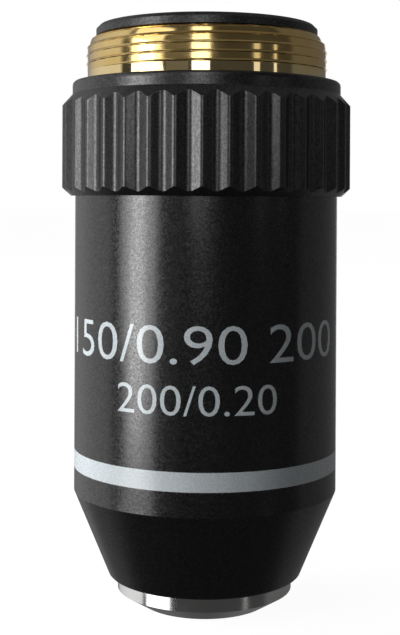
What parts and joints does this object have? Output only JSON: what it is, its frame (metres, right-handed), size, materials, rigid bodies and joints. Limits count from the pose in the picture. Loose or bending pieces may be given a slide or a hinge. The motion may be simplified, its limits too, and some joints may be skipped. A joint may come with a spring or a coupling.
{
  "type": "microscope objective",
  "caption": "Microscope objective: fluted collar with a threaded brass mount behind it, black barrel with a pale band, and a sprung steel front tip that backs into the conical nose.",
  "frame": {"origin": "on the optical axis, in the plane of the shoulder that seats on the microscope's nosepiece", "axes": "+Z along the optical axis, from the front lens towards the fastening thread; the part is round about Z"},
  "size_m": [0.0242, 0.0242, 0.0482],
  "materials": {
    "brass": "polished",
    "black_metal": "satin",
    "steel": "polished",
    "spring_steel": "satin",
    "black_brass": "matte",
    "glass": "polished"
  },
  "bodies": {
    "housing": {"thread_mount": "brass", "rear_ring": "black_metal", "knurled_collar": "black_metal", "outer_sleeve": "black_metal", "return_spring": "spring_steel"},
    "lens_unit": {"inner_barrel": "black_brass", "front_lens_mount": "steel", "front_lens": "glass", "meniscus_cell": "black_brass", "meniscus_lens": "glass", "meniscus_spacer": "black_brass", "front_doublet_cell": "black_brass", "front_doublet_flint": "glass", "front_doublet_crown": "glass", "cell_spacer": "black_brass", "rear_doublet_cell": "black_brass", "rear_doublet_flint": "glass", "rear_doublet_crown": "glass", "aperture_stop": "black_brass", "cell_lock_ring": "black_brass"}
  },
  "joints": [
    {"name": "nose_slide", "type": "slide", "parent": "housing", "child": "lens_unit", "axis": [0, 0, 1], "range_m": [0, 0.0015], "stiffness_N_per_m": 340, "springref_m": -0.008, "deforming": ["return_spring"]}
  ]
}
